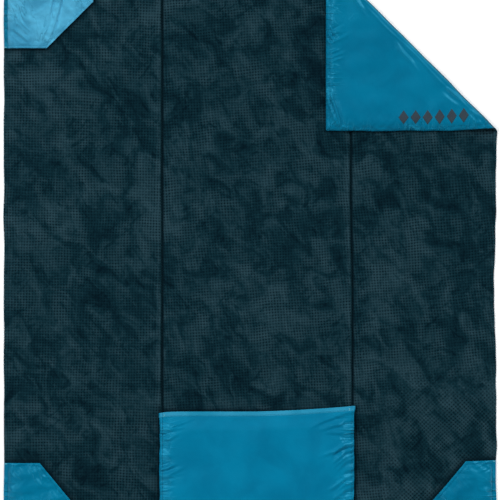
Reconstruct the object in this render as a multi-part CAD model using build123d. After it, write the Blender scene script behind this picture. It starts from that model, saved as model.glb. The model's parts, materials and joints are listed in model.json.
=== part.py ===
from build123d import *
import math
import os

# Insulated camp blanket, lying flat with its plush lining up and its top right corner folded over.
# Origin at the middle of the underside, +Z up, +X to the right, +Y towards the top edge.
# Every piece is made with the blanket spread flat, and what lies past the crease is then turned over.
# Rectangles are (x low, y low, x high, y high), and distances for their sides are (left, bottom, right, top).

# Blanket
WIDTH = 1473.0
LENGTH = 1778.0
CORNER_RADIUS = 12.0
LEFT_SEAM_X = -264.0
RIGHT_SEAM_X = 306.0

# Layers, from the floor up
SHELL_TOP = 1.0
INSULATION_TOP = 9.0
LINING_TOP = 14.0

# Each panel has a pinched band along its edges and seams, then slopes up to its full thickness
BAND_TOP = 3.2
EDGE_BAND = 16.0
SEAM_BAND = 10.0
PANEL_SLOPE = 45.0
BATT_INSET = 14.0
BATT_SLOPE = 40.0

# The left seam is a fold line: the two panels end just short of it and are bevelled underneath
FOLD_Z = 3.0
FOLD_GAP = 1.0
FOLD_BEVEL = 8.0
FOLD_SHELL_EDGE = FOLD_Z * (1 - FOLD_GAP / FOLD_BEVEL)

# Folded corner: a crease at 45 degrees, with room for the hidden pocket between the two layers
CREASE_LEG = 506.5
CREASE_GAP = 0.3
LAYER_GAP = 7.4
CREASE_Z = LINING_TOP + LAYER_GAP / 2
FLAP_TOP = 2 * CREASE_Z

# Corner pockets: squares with the inner corner cut off. The cuts are what is left of the inner sides.
POCKET_LEG = 268.0
POCKET_CAVITY_TOP = LINING_TOP + 5.0
POCKET_TOP = POCKET_CAVITY_TOP + 1.2
POCKET_BAND_TOP = BAND_TOP + 1.0
POCKET_STITCH_INSET = 8.0
CORNER_POCKETS = {
    "top_left": {"side": -1, "end": 1, "side_cut": 129.0, "end_cut": 129.0},
    "bottom_left": {"side": -1, "end": -1, "side_cut": 108.0, "end_cut": 74.0},
    "bottom_right": {"side": 1, "end": -1, "side_cut": 91.0, "end_cut": 68.0},
    "top_right": {"side": 1, "end": 1, "side_cut": 129.0, "end_cut": 129.0},
}

# Stuff pocket, sewn in at both seams and the bottom edge, and open at the top
MOUTH_LEFT_Y = -469.0
MOUTH_RIGHT_Y = -452.0
STUFF_SEAM_INSET = 6.0
STUFF_BAND_TOP = BAND_TOP + 1.0
STUFF_CAVITY_TOP = LINING_TOP + 5.5
STUFF_BACK_TOP = STUFF_CAVITY_TOP + 0.8
STUFF_BATT_TOP = STUFF_BACK_TOP + 7.0
STUFF_TOP = STUFF_BATT_TOP + 1.0
STUFF_BAND = (4.0, EDGE_BAND, 4.0, 0.0)
STUFF_INNER = (54.0, 58.0, 54.0, 0.0)
STUFF_OUTER = (60.0, 66.0, 60.0, 0.0)
STUFF_BATT_LOW = (62.0, 68.0, 62.0, 0.0)
STUFF_BATT_HIGH = (70.0, 76.0, 70.0, 0.0)
STUFF_STITCH = (3.0, 12.0, 3.0, 0.0)
STUFF_HEM = 18.0
STUFF_HEM_STITCH = 14.0

# Thread and bar tacks
THREAD_WIDTH = 0.8
THREAD_HEIGHT = 0.5
EDGE_STITCH_INSET = 12.0
SEAM_STITCH_INSET = 4.0
TACK_LENGTH = 7.0
TACK_WIDTH = 2.5
TACK_HEIGHT = 0.8
TACK_EDGE_INSET = 5.5
TACK_MOUTH_INSET = 3.0

# Printed mark on the folded corner: a row of plain lozenges
MARK_CENTRE = (550.0, 423.0)
MARK_COUNT = 6
MARK_PITCH = 36.0
MARK_LOZENGE = (30.0, 42.0)
MARK_FILM = 0.3

X_MAX = WIDTH / 2
Y_MAX = LENGTH / 2
REACH = 3000.0

LEFT_AREA = (-X_MAX, -Y_MAX, LEFT_SEAM_X - FOLD_GAP, Y_MAX)
CENTRE_AREA = (LEFT_SEAM_X + FOLD_GAP, -Y_MAX, RIGHT_SEAM_X, Y_MAX)
RIGHT_AREA = (RIGHT_SEAM_X, -Y_MAX, X_MAX, Y_MAX)
LEFT_BAND = (EDGE_BAND, EDGE_BAND, SEAM_BAND, EDGE_BAND)
CENTRE_BAND = (SEAM_BAND, EDGE_BAND, SEAM_BAND, EDGE_BAND)
RIGHT_BAND = (SEAM_BAND, EDGE_BAND, EDGE_BAND, EDGE_BAND)
STUFF_AREA = (LEFT_SEAM_X + STUFF_SEAM_INSET, -Y_MAX, RIGHT_SEAM_X - STUFF_SEAM_INSET, MOUTH_RIGHT_Y)


# ---- plain shapes


def rectangle_at(area, z):
    x_low, y_low, x_high, y_high = area
    middle = Pos((x_low + x_high) / 2, (y_low + y_high) / 2, z)
    return middle * Rectangle(x_high - x_low, y_high - y_low)


def slab(area, z_low, z_high):
    return extrude(rectangle_at(area, z_low), z_high - z_low)


def inset(area, sides):
    x_low, y_low, x_high, y_high = area
    left, bottom, right, top = sides
    return (x_low + left, y_low + bottom, x_high - right, y_high - top)


def frustum(low_area, z_low, high_area, z_high):
    return loft([rectangle_at(low_area, z_low), rectangle_at(high_area, z_high)], ruled=True)


def mound(area, z_floor, band, z_band, slope, z_top):
    """A flat band round a raised middle."""
    raised = frustum(inset(area, band), z_band, inset(area, slope), z_top)
    return slab(area, z_floor, z_band) + raised


def half_space(point, direction):
    """Everything past an upright plane through a point."""
    angle = math.degrees(math.atan2(direction[1], direction[0]))
    block = Pos(REACH / 2, 0, 0) * Box(REACH, 2 * REACH, REACH)
    return Pos(point[0], point[1], 0) * Rot(0, 0, angle) * block


def thread(start, end, z):
    """Straight run of sewing thread lying at a height."""
    angle = math.degrees(math.atan2(end[1] - start[1], end[0] - start[0]))
    run = Box(math.dist(start, end), THREAD_WIDTH, THREAD_HEIGHT)
    middle = Pos((start[0] + end[0]) / 2, (start[1] + end[1]) / 2, z + THREAD_HEIGHT / 2)
    return middle * Rot(0, 0, angle) * run


def tack(x, y, z, turned):
    block = Box(TACK_LENGTH, TACK_WIDTH, TACK_HEIGHT)
    return Pos(x, y, z + TACK_HEIGHT / 2) * Rot(0, 0, 90 if turned else 0) * block


# ---- the crease and the outline


def crease_point(offset):
    """A point at an offset from the crease, towards the blanket's corner."""
    step = offset / math.sqrt(2)
    return (X_MAX - CREASE_LEG / 2 + step, Y_MAX - CREASE_LEG / 2 + step)


def kept_down(piece):
    """The part of a flat piece before the crease."""
    return piece - half_space(crease_point(-CREASE_GAP), (1, 1))


def folded_over(piece):
    """The part of a flat piece past the crease, turned over with the corner."""
    corner = piece & half_space(crease_point(CREASE_GAP), (1, 1))
    x, y = crease_point(0)
    return corner.rotate(Axis((x, y, CREASE_Z), (-1, 1, 0)), 180)


def blanket_outline():
    return extrude(RectangleRounded(WIDTH, LENGTH, CORNER_RADIUS), FLAP_TOP)


# ---- panels


def beside_fold(side, section):
    """Strip along the left seam, from a section of distances from the seam and heights."""
    corners = [(LEFT_SEAM_X + side * distance, z) for distance, z in section]
    face = Plane.XZ * make_face(Polyline(*corners, close=True))
    return extrude(Pos(0, Y_MAX, 0) * face, LENGTH)


def fold_bevel(side):
    """What the lining leaves free underneath, for the shell to rise to the seam."""
    top = [(0, FOLD_Z), (FOLD_GAP, FOLD_Z), (FOLD_BEVEL, SHELL_TOP)]
    return beside_fold(side, [(0, 0)] + top + [(FOLD_BEVEL, 0)])


def fold_shell(side):
    """The shell's edge, rising to the seam."""
    top = [(FOLD_GAP, FOLD_Z), (FOLD_BEVEL, SHELL_TOP)]
    return beside_fold(side, [(FOLD_GAP, FOLD_SHELL_EDGE)] + top + [(FOLD_BEVEL, 0)])


def insulation(area):
    low = inset(area, (BATT_INSET,) * 4)
    high = inset(area, (BATT_SLOPE,) * 4)
    return frustum(low, SHELL_TOP, high, INSULATION_TOP)


def lining(area, band):
    """Plush panel, hollow underneath for its insulation."""
    plush = mound(area, SHELL_TOP, band, BAND_TOP, (PANEL_SLOPE,) * 4, LINING_TOP)
    return (plush & blanket_outline()) - insulation(area)


def shell_left():
    flat = slab((-X_MAX, -Y_MAX, LEFT_SEAM_X - FOLD_BEVEL, Y_MAX), 0, SHELL_TOP)
    return (flat + fold_shell(-1)) & blanket_outline()


def shell_right_of_fold():
    flat = slab((LEFT_SEAM_X + FOLD_BEVEL, -Y_MAX, X_MAX, Y_MAX), 0, SHELL_TOP)
    return (flat + fold_shell(1)) & blanket_outline()


# ---- corner pockets


def outer_sides(pocket, distance):
    """Distances for a pocket's rectangle that count only on the blanket's own edges."""
    left = distance if pocket["side"] < 0 else 0
    bottom = distance if pocket["end"] < 0 else 0
    right = distance if pocket["side"] > 0 else 0
    top = distance if pocket["end"] > 0 else 0
    return (left, bottom, right, top)


def pocket_area(pocket):
    xs = sorted((pocket["side"] * X_MAX, pocket["side"] * (X_MAX - POCKET_LEG)))
    ys = sorted((pocket["end"] * Y_MAX, pocket["end"] * (Y_MAX - POCKET_LEG)))
    return (xs[0], ys[0], xs[1], ys[1])


def pocket_plan(pocket, edge_inset, mouth_inset):
    """Upright prism over the pocket, drawn in from the blanket's edges and from the pocket's mouth."""
    side, end = pocket["side"], pocket["end"]
    far = POCKET_LEG - mouth_inset
    xs = sorted((side * (X_MAX - edge_inset), side * (X_MAX - far)))
    ys = sorted((end * (Y_MAX - edge_inset), end * (Y_MAX - far)))
    run = POCKET_LEG - pocket["side_cut"]
    rise = POCKET_LEG - pocket["end_cut"]
    slant = math.hypot(run, rise)
    inward = (-side * rise / slant, -end * run / slant)
    x = side * (X_MAX - pocket["side_cut"]) - inward[0] * mouth_inset
    y = end * (Y_MAX - POCKET_LEG) - inward[1] * mouth_inset
    return slab((xs[0], ys[0], xs[1], ys[1]), 0, FLAP_TOP) - half_space((x, y), inward)


def pocket_outside(pocket):
    area = pocket_area(pocket)
    band = outer_sides(pocket, EDGE_BAND)
    slope = outer_sides(pocket, PANEL_SLOPE)
    return mound(area, BAND_TOP, band, POCKET_BAND_TOP, slope, POCKET_TOP)


def pocket_inside(pocket):
    area = pocket_area(pocket)
    low = inset(area, outer_sides(pocket, EDGE_BAND))
    high = inset(area, outer_sides(pocket, PANEL_SLOPE))
    return frustum(low, BAND_TOP, high, POCKET_CAVITY_TOP)


def corner_pocket(pocket):
    """Pocket front, sewn to the blanket's two edges and open on its inner sides."""
    front = pocket_outside(pocket) - pocket_inside(pocket)
    return front & pocket_plan(pocket, 0, 0) & blanket_outline()


def corner_pocket_stitching(pocket):
    """Ring of thread that follows the pocket front along its edges and its mouth."""
    outside = pocket_outside(pocket)
    skin = Pos(0, 0, THREAD_HEIGHT) * outside - outside
    ring = pocket_plan(pocket, EDGE_STITCH_INSET, POCKET_STITCH_INSET)
    ring -= pocket_plan(pocket, EDGE_STITCH_INSET + THREAD_WIDTH, POCKET_STITCH_INSET + THREAD_WIDTH)
    return skin & ring


def corner_pocket_tacks(pocket):
    side, end = pocket["side"], pocket["end"]
    near = TACK_EDGE_INSET
    far = POCKET_LEG - TACK_MOUTH_INSET
    on_side = tack(side * (X_MAX - near), end * (Y_MAX - far), POCKET_BAND_TOP, False)
    on_end = tack(side * (X_MAX - far), end * (Y_MAX - near), POCKET_BAND_TOP, True)
    return [on_side, on_end]


# ---- stuff pocket


def past_mouth(offset):
    """Everything above the stuff pocket's slightly slanted mouth, less an offset down into the pocket."""
    run = RIGHT_SEAM_X - LEFT_SEAM_X
    rise = MOUTH_RIGHT_Y - MOUTH_LEFT_Y
    slant = math.hypot(run, rise)
    upward = (-rise / slant, run / slant)
    point = (LEFT_SEAM_X - upward[0] * offset, MOUTH_LEFT_Y - upward[1] * offset)
    return half_space(point, upward)


def stuff_outside():
    return mound(STUFF_AREA, BAND_TOP, STUFF_BAND, STUFF_BAND_TOP, STUFF_OUTER, STUFF_TOP)


def stuff_inside():
    return frustum(inset(STUFF_AREA, STUFF_BAND), BAND_TOP, inset(STUFF_AREA, STUFF_INNER), STUFF_CAVITY_TOP)


def stuff_pocket_hem():
    """Folded hem that closes the padding along the mouth."""
    bar = slab(inset(STUFF_AREA, STUFF_BATT_LOW), STUFF_CAVITY_TOP, STUFF_TOP)
    return (bar - past_mouth(0)) & past_mouth(STUFF_HEM)


def stuff_pocket_back():
    return slab(inset(STUFF_AREA, STUFF_INNER), STUFF_CAVITY_TOP, STUFF_BACK_TOP) - past_mouth(STUFF_HEM)


def stuff_pocket_insulation():
    low = inset(STUFF_AREA, STUFF_BATT_LOW)
    high = inset(STUFF_AREA, STUFF_BATT_HIGH)
    return frustum(low, STUFF_BACK_TOP, high, STUFF_BATT_TOP) - past_mouth(STUFF_HEM)


def stuff_pocket_cover():
    """Padded top, and the sloping left, right and bottom sides that carry it."""
    cover = stuff_outside() - stuff_inside() - past_mouth(0)
    cover = cover - stuff_pocket_back() - stuff_pocket_insulation() - stuff_pocket_hem()
    x_low, y_low, x_high, y_high = STUFF_AREA
    x_left, y_side, x_right, _ = inset(STUFF_AREA, STUFF_INNER)
    regions = [
        slab(STUFF_AREA, STUFF_BACK_TOP, STUFF_TOP),
        slab((x_low, y_low, x_left, y_high), BAND_TOP, STUFF_BACK_TOP),
        slab((x_right, y_low, x_high, y_high), BAND_TOP, STUFF_BACK_TOP),
        slab((x_left, y_low, x_right, y_side), BAND_TOP, STUFF_BACK_TOP),
    ]
    return [cover & region for region in regions]


def stuff_pocket_stitching():
    """Thread round the pocket and along its hem, following the cover."""
    outside = stuff_outside()
    skin = Pos(0, 0, THREAD_HEIGHT) * outside - outside
    ring = slab(inset(STUFF_AREA, STUFF_STITCH), 0, FLAP_TOP) - past_mouth(STUFF_HEM_STITCH)
    narrower = [side + THREAD_WIDTH for side in STUFF_STITCH]
    ring -= slab(inset(STUFF_AREA, narrower), 0, FLAP_TOP) - past_mouth(STUFF_HEM_STITCH + THREAD_WIDTH)
    return skin & ring


def stuff_pocket_tacks():
    inset_x = STUFF_SEAM_INSET + TACK_WIDTH / 2
    inset_y = TACK_LENGTH / 2 + TACK_MOUTH_INSET
    left = tack(LEFT_SEAM_X + inset_x, MOUTH_LEFT_Y - inset_y, STUFF_BAND_TOP, True)
    right = tack(RIGHT_SEAM_X - inset_x, MOUTH_RIGHT_Y - inset_y, STUFF_BAND_TOP, True)
    return [left, right]


# ---- edge and seam stitching


def edge_stitching_left():
    side = -X_MAX + EDGE_STITCH_INSET
    end = Y_MAX - EDGE_STITCH_INSET
    pocket_x = -X_MAX + POCKET_LEG
    pocket_y = Y_MAX - POCKET_LEG
    seam = LEFT_SEAM_X - SEAM_STITCH_INSET
    runs = [thread((side, -pocket_y), (side, pocket_y), BAND_TOP)]
    for y in (-end, end):
        runs.append(thread((pocket_x, y), (seam, y), BAND_TOP))
    return runs


def edge_stitching_right_of_fold():
    side = X_MAX - EDGE_STITCH_INSET
    end = Y_MAX - EDGE_STITCH_INSET
    pocket_x = X_MAX - POCKET_LEG
    pocket_y = Y_MAX - POCKET_LEG
    return [
        thread((side, -pocket_y), (side, pocket_y), BAND_TOP),
        thread((LEFT_SEAM_X + SEAM_STITCH_INSET, end), (pocket_x, end), BAND_TOP),
        thread((RIGHT_SEAM_X - SEAM_STITCH_INSET, -end), (pocket_x, -end), BAND_TOP),
    ]


def seam_stitching(x):
    end = Y_MAX - EDGE_BAND
    return thread((x, -end), (x, end), BAND_TOP)


# ---- printed mark


def printed_mark():
    width, height = MARK_LOZENGE
    outline = Polyline((-width / 2, 0), (0, -height / 2), (width / 2, 0), (0, height / 2), close=True)
    lozenge = extrude(make_face(outline), MARK_FILM)
    first = MARK_CENTRE[0] - MARK_PITCH * (MARK_COUNT - 1) / 2
    return [Pos(first + MARK_PITCH * n, MARK_CENTRE[1], FLAP_TOP) * lozenge for n in range(MARK_COUNT)]


# ---- all pieces


def solids_of(shapes):
    return [solid for shape in shapes for solid in shape.solids()]


def build():
    """Each node's name and its solids."""
    pieces = {}
    pieces["shell_left"] = [shell_left()]
    pieces["insulation_left"] = [insulation(LEFT_AREA)]
    pieces["lining_left"] = [lining(LEFT_AREA, LEFT_BAND) - fold_bevel(-1)]
    pieces["edge_stitching_left"] = edge_stitching_left()

    shell = shell_right_of_fold()
    lining_centre = lining(CENTRE_AREA, CENTRE_BAND) - fold_bevel(1)
    lining_right = lining(RIGHT_AREA, RIGHT_BAND)
    edge_threads = edge_stitching_right_of_fold()
    right_thread = seam_stitching(RIGHT_SEAM_X)
    for name, turn in (("", kept_down), ("corner_", folded_over)):
        pieces[name + "shell"] = [turn(shell)]
        pieces[name + "insulation_centre"] = [turn(insulation(CENTRE_AREA))]
        pieces[name + "insulation_right"] = [turn(insulation(RIGHT_AREA))]
        pieces[name + "lining_centre"] = [turn(lining_centre)]
        pieces[name + "lining_right"] = [turn(lining_right)]
        pieces[name + "edge_stitching"] = [turn(run) for run in edge_threads]
        pieces[name + "seam_stitching_right"] = [turn(right_thread)]
    pieces["seam_stitching_left"] = [seam_stitching(LEFT_SEAM_X + SEAM_STITCH_INSET)]

    for name, pocket in CORNER_POCKETS.items():
        turned = name == "top_right"
        turn = folded_over if turned else lambda piece: piece
        pieces["pocket_" + name] = [turn(corner_pocket(pocket))]
        pieces["pocket_stitching_" + name] = [turn(corner_pocket_stitching(pocket))]
        pieces["bar_tacks_" + name] = [turn(block) for block in corner_pocket_tacks(pocket)]

    pieces["stuff_pocket_cover"] = stuff_pocket_cover()
    pieces["stuff_pocket_insulation"] = [stuff_pocket_insulation()]
    pieces["stuff_pocket_back"] = [stuff_pocket_back()]
    pieces["stuff_pocket_hem"] = [stuff_pocket_hem()]
    pieces["stuff_pocket_stitching"] = [stuff_pocket_stitching()]
    pieces["bar_tacks_stuff_pocket"] = stuff_pocket_tacks()
    pieces["printed_mark"] = printed_mark()
    return pieces


os.makedirs("parts", exist_ok=True)
for node, shapes in build().items():
    solids = solids_of(shapes)
    export_step(solids[0] if len(solids) == 1 else Compound(children=solids), f"parts/{node}.step")
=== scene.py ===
import json
import math

import bmesh
import bpy
import numpy as np
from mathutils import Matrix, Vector
from mathutils.bvhtree import BVHTree


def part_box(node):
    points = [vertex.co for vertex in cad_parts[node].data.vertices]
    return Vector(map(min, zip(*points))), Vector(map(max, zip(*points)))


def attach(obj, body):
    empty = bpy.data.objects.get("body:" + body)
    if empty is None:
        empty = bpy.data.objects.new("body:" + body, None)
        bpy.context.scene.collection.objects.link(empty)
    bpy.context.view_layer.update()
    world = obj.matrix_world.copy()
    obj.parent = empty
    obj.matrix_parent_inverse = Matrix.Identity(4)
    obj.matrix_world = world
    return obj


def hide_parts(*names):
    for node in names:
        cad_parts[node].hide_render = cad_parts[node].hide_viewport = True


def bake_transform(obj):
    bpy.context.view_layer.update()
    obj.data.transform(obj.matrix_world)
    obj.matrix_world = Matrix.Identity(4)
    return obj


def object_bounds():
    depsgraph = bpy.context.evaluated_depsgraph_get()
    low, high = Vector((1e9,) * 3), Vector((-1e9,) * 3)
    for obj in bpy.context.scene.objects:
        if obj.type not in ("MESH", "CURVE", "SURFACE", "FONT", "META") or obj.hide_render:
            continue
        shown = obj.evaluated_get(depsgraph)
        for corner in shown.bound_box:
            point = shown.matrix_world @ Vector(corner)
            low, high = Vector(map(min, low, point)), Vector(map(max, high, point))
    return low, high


# The blanket is worked out spread flat, in metres in the row frame, as heights over the floor.
# Pieces that cross the crease are then turned over with the corner, round a soft bend.

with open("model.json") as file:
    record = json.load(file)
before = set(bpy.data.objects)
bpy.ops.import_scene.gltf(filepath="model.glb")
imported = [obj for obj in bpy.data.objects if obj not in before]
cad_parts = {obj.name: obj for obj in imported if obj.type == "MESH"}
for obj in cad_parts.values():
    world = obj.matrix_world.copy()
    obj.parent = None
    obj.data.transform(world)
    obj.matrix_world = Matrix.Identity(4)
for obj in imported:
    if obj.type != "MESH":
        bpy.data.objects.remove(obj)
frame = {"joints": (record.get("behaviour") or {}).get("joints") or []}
CAD_LOW, CAD_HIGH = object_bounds()
JOINTS = {joint["name"]: joint for joint in frame["joints"]}

# ---- places taken from the frame

X_MAX = CAD_HIGH.x
Y_MAX = CAD_HIGH.y
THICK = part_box("lining_left")[1].z
LEFT_SEAM, _, FOLD_Z = JOINTS["left_panel_fold"]["pos_m"]
RIGHT_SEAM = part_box("lining_right")[0].x
CREASE_X, CREASE_Y, CREASE_Z = JOINTS["corner_fold"]["pos_m"]
CREASE_SUM = CREASE_X + CREASE_Y
POCKET_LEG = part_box("pocket_top_left")[1].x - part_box("pocket_top_left")[0].x
POCKET_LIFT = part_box("pocket_top_left")[1].z - THICK
STUFF_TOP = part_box("stuff_pocket_cover")[1].z
STUFF_BACK_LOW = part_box("stuff_pocket_back")[0].z
STUFF_BACK_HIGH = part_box("stuff_pocket_back")[1].z

# ---- sizes of the cloth's own detail

CORNER_RADIUS = 0.005
EDGE_STITCH = 0.012
SEAM_PINCH = 0.0003
EDGE_HEIGHT = 0.0022
FLAP_EDGE_HEIGHT = 0.0150
BEND = CREASE_Z
FOLD_SQUARENESS = 0.5
PANEL_BEND = 0.060
SHELL_CLOTH = 0.0005
POCKET_CLOTH = 0.0009
PANEL_STEP = 0.0085
FINE_STEP = 0.0027
POCKET_STEP = 0.0026
WAFFLE_PITCH = 0.0086

# Each corner pocket: the side and the end of the blanket it is on, how far its slanting mouth is
# from the corner along both edges, and how far the mouth stands open.
CORNER_POCKETS = {
    "top_left": {"side": -1, "end": 1, "side_cut": 0.129, "end_cut": 0.129, "gape": 0.9},
    "bottom_left": {"side": -1, "end": -1, "side_cut": 0.108, "end_cut": 0.074, "gape": 0.4},
    "bottom_right": {"side": 1, "end": -1, "side_cut": 0.091, "end_cut": 0.068, "gape": 0.4},
    "top_right": {"side": 1, "end": 1, "side_cut": 0.129, "end_cut": 0.129, "gape": 0.2},
}
MOUTH_LEFT_Y = -0.4665
MOUTH_RISE = 0.0162
SIDE_BULGE = 0.0138
STUFF_HEM = 0.011
STUFF_STITCH = 0.0085
HEM_ROUND = 0.0028
FIELD_WAVES = 10


# ---- smooth functions over the flat blanket


def smooth(t):
    t = np.clip(t, 0.0, 1.0)
    return t * t * (3.0 - 2.0 * t)


def puff(distance, reach, power=2.2):
    """Rises quickly from 0 at a seam to 1 at the reach."""
    return 1.0 - (1.0 - np.clip(distance / reach, 0.0, 1.0)) ** power


def field(x, y, wavelength, seed):
    """Smooth random ripples of about one wavelength, with a spread of about 1."""
    rng = np.random.RandomState(seed)
    total = np.zeros_like(x)
    for _ in range(FIELD_WAVES):
        angle = rng.uniform(0, math.pi)
        length = wavelength * rng.uniform(0.7, 1.5)
        phase = rng.uniform(0, 2 * math.pi)
        along = (x * math.cos(angle) + y * math.sin(angle)) / length
        total += np.cos(2 * math.pi * along + phase)
    return total / math.sqrt(FIELD_WAVES / 2)


def folds(x, y, start, end, count, spacing, width, height, seed):
    """Soft folds side by side from one place to another, each a little different."""
    rng = np.random.RandomState(seed)
    length = math.hypot(end[0] - start[0], end[1] - start[1])
    ux = (end[0] - start[0]) / length
    uy = (end[1] - start[1]) / length
    total = np.zeros_like(x)
    for k in range(count):
        aside = (k - (count - 1) / 2) * spacing * rng.uniform(0.75, 1.25)
        lead = rng.uniform(-0.15, 0.15) * length
        reach = length * rng.uniform(0.7, 1.1)
        bow = rng.uniform(-0.35, 0.35) * reach
        tall = height * rng.uniform(0.6, 1.1)
        wide = width * rng.uniform(0.8, 1.25)
        t = ((x - start[0]) * ux + (y - start[1]) * uy - lead) / reach
        across = (y - start[1]) * ux - (x - start[0]) * uy - aside - bow * t * (1 - t)
        ends = smooth(t / 0.3) * smooth((1 - t) / 0.4)
        ridge = np.exp(-(np.abs(across / wide) ** 1.3))
        groove = 0.7 * np.exp(-(np.abs(across / wide - 1.5) ** 1.3))
        total += tall * ends * (ridge - groove)
    return total


def past_crease(x, y):
    """Distance past the crease, towards the blanket's corner."""
    return (x + y - CREASE_SUM) / math.sqrt(2)


def edge_distance(x, y):
    return np.maximum(np.minimum(X_MAX - np.abs(x), Y_MAX - np.abs(y)), 0.0)


def seam_distance(x):
    return np.minimum(np.abs(x - LEFT_SEAM), np.abs(x - RIGHT_SEAM))


def edge_height(x, y):
    """Height of the sewn edge: near the floor, and curling towards the base on the folded corner."""
    return EDGE_HEIGHT + (FLAP_EDGE_HEIGHT - EDGE_HEIGHT) * smooth(past_crease(x, y) / 0.09)


def stitch_dip(distance, at, width=0.004):
    return np.exp(-(((distance - at) / width) ** 2))


def puckers(distance, along, wavelength, seed, reach):
    """Short folds that run in from a seam and die out."""
    wave = field(along, np.zeros_like(along), wavelength, seed)
    return wave * np.exp(-distance / reach) * smooth(distance / 0.005)


def seam_bank(x):
    """The padding swells steeply left of each seam, and more slowly right of it."""
    rise = np.ones_like(x)
    for seam in (LEFT_SEAM, RIGHT_SEAM):
        steep = 0.70 * puff(seam - x, 0.006, 2.0) + 0.30 * puff(seam - x, 0.040, 2.4)
        slow = 0.42 * puff(x - seam, 0.008, 2.0) + 0.58 * puff(x - seam, 0.060, 2.2)
        rise *= np.where(x < seam, steep, slow)
    return rise


def lining_top(x, y):
    """Upper face of the plush."""
    edge = edge_distance(x, y)
    seam = seam_distance(x)
    low_edge = edge_height(x, y) + 0.0012
    low_seam = FOLD_Z + SEAM_PINCH
    swells = 0.0007 * field(x, y, 0.17, 3) + 0.0006 * field(x, y, 0.07, 4) + 0.0003 * field(x, y, 0.03, 5)
    full = THICK + swells
    low = low_seam + (low_edge - low_seam) * np.exp(-edge / 0.02)
    height = low + (full - low) * puff(edge, 0.042) * seam_bank(x)
    height += 0.0010 * puckers(seam, y, 0.055, 11, 0.025) * puff(edge, 0.02)
    height += 0.0012 * puckers(edge, x + y, 0.045, 12, 0.03)
    height -= 0.0016 * stitch_dip(edge, EDGE_STITCH) * smooth(seam / 0.02)
    return np.maximum(height, low_seam)


def lining_low(x, y):
    """Underside of the plush: thin at the seams and the edges."""
    near = np.minimum(edge_distance(x, y), seam_distance(x))
    return lining_top(x, y) - 0.0006 - 0.0026 * puff(near, 0.02)


def shell_low(x, y):
    """Outer face of the shell, on the floor side."""
    edge = edge_distance(x, y)
    left = np.abs(x - LEFT_SEAM)
    right = np.abs(x - RIGHT_SEAM)
    inner = puff(np.minimum(edge, np.minimum(left, right)), 0.04)
    rise = (FOLD_Z - SEAM_PINCH) * np.exp(-((left / 0.006) ** 1.3))
    rise += 0.0016 * np.exp(-((right / 0.008) ** 1.5))
    rise = np.maximum(rise, (edge_height(x, y) - 0.0003) * (1 - puff(edge, 0.034)))
    rise += 0.0007 * stitch_dip(edge, EDGE_STITCH)
    hollow = 0.0010 + 0.0006 * field(x, y, 0.16, 7) + 0.0002 * field(x, y, 0.06, 8)
    hollow += 0.0008 * puckers(edge, x + y, 0.03, 13, 0.020)
    return rise + np.clip(hollow, 0.0, 0.003) * inner


def shell_high(x, y):
    return shell_low(x, y) + SHELL_CLOTH * (0.3 + 0.7 * puff(seam_distance(x), 0.01))


# ---- from the drawn rectangle to the real outline, and over the crease


def rounded(points):
    """The blanket's square corners drawn in to a small radius."""
    moved = points.copy()
    a = np.abs(points[:, 0]) - (X_MAX - CORNER_RADIUS)
    b = np.abs(points[:, 1]) - (Y_MAX - CORNER_RADIUS)
    inside = (a > 0) & (b > 0)
    u = a[inside] / CORNER_RADIUS
    v = b[inside] / CORNER_RADIUS
    new_a = u * np.sqrt(1 - v * v / 2) * CORNER_RADIUS
    new_b = v * np.sqrt(1 - u * u / 2) * CORNER_RADIUS
    moved[inside, 0] = np.sign(points[inside, 0]) * (X_MAX - CORNER_RADIUS + new_a)
    moved[inside, 1] = np.sign(points[inside, 1]) * (Y_MAX - CORNER_RADIUS + new_b)
    return moved


def placed(points):
    """Points with the slight wander of the blanket's outline and of its right seam."""
    moved = rounded(points)
    x, y = moved[:, 0].copy(), moved[:, 1]
    right = smooth((x - RIGHT_SEAM) / (X_MAX - RIGHT_SEAM))
    waist = 0.0018 - 0.0060 * np.exp(-(((y + 0.10) / 0.145) ** 2))
    near = np.exp(-edge_distance(x, y) / 0.05)
    seam = -0.0048 * smooth((y + 0.12) / 0.33) * smooth((0.50 - y) / 0.10)
    moved[:, 0] += right * waist + near * right * 0.0009 * field(x, y, 0.10, 21)
    moved[:, 0] += near * smooth((LEFT_SEAM - x) / 0.1) * 0.0006 * field(x, y, 0.12, 22)
    moved[:, 0] += seam * np.exp(-(((x - RIGHT_SEAM) / 0.09) ** 2))
    moved[:, 0] += 0.0075 * smooth(past_crease(x, y) / 0.12) * smooth((x - 0.5) / 0.2)
    moved[:, 1] += 0.0022 * smooth(past_crease(x, y) / 0.12) * smooth((y - 0.7) / 0.15)
    lift = (0.0055 + 0.03 * (x - 0.65)) * np.exp(-(((y - POCKET_LEG + Y_MAX) / 0.07) ** 2))
    moved[:, 1] += lift * smooth((x - 0.40) / 0.10)
    return moved


def turned_over(points):
    """Flat points carried round the crease's soft bend."""
    x, y, z = points[:, 0], points[:, 1], points[:, 2]
    s = past_crease(x, y)
    radius = CREASE_Z - z
    angle = math.pi * smooth((s + BEND) / (2 * BEND))
    bent = -BEND + radius * np.sin(angle) ** FOLD_SQUARENESS
    new_s = np.where(s <= -BEND, s, np.where(s >= BEND, -s, bent))
    shift = (new_s - s) / math.sqrt(2)
    lift = np.sign(np.cos(angle)) * np.abs(np.cos(angle)) ** FOLD_SQUARENESS
    return np.column_stack([x + shift, y + shift, CREASE_Z - radius * lift])


# ---- meshes


def lines(low, high, step):
    return np.linspace(low, high, max(1, round((high - low) / step)) + 1)


BEND_ROWS = 11
END_STEPS = (0.0, 0.001, 0.0021, 0.0034, 0.005, 0.007, 0.0095, 0.0125)


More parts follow.
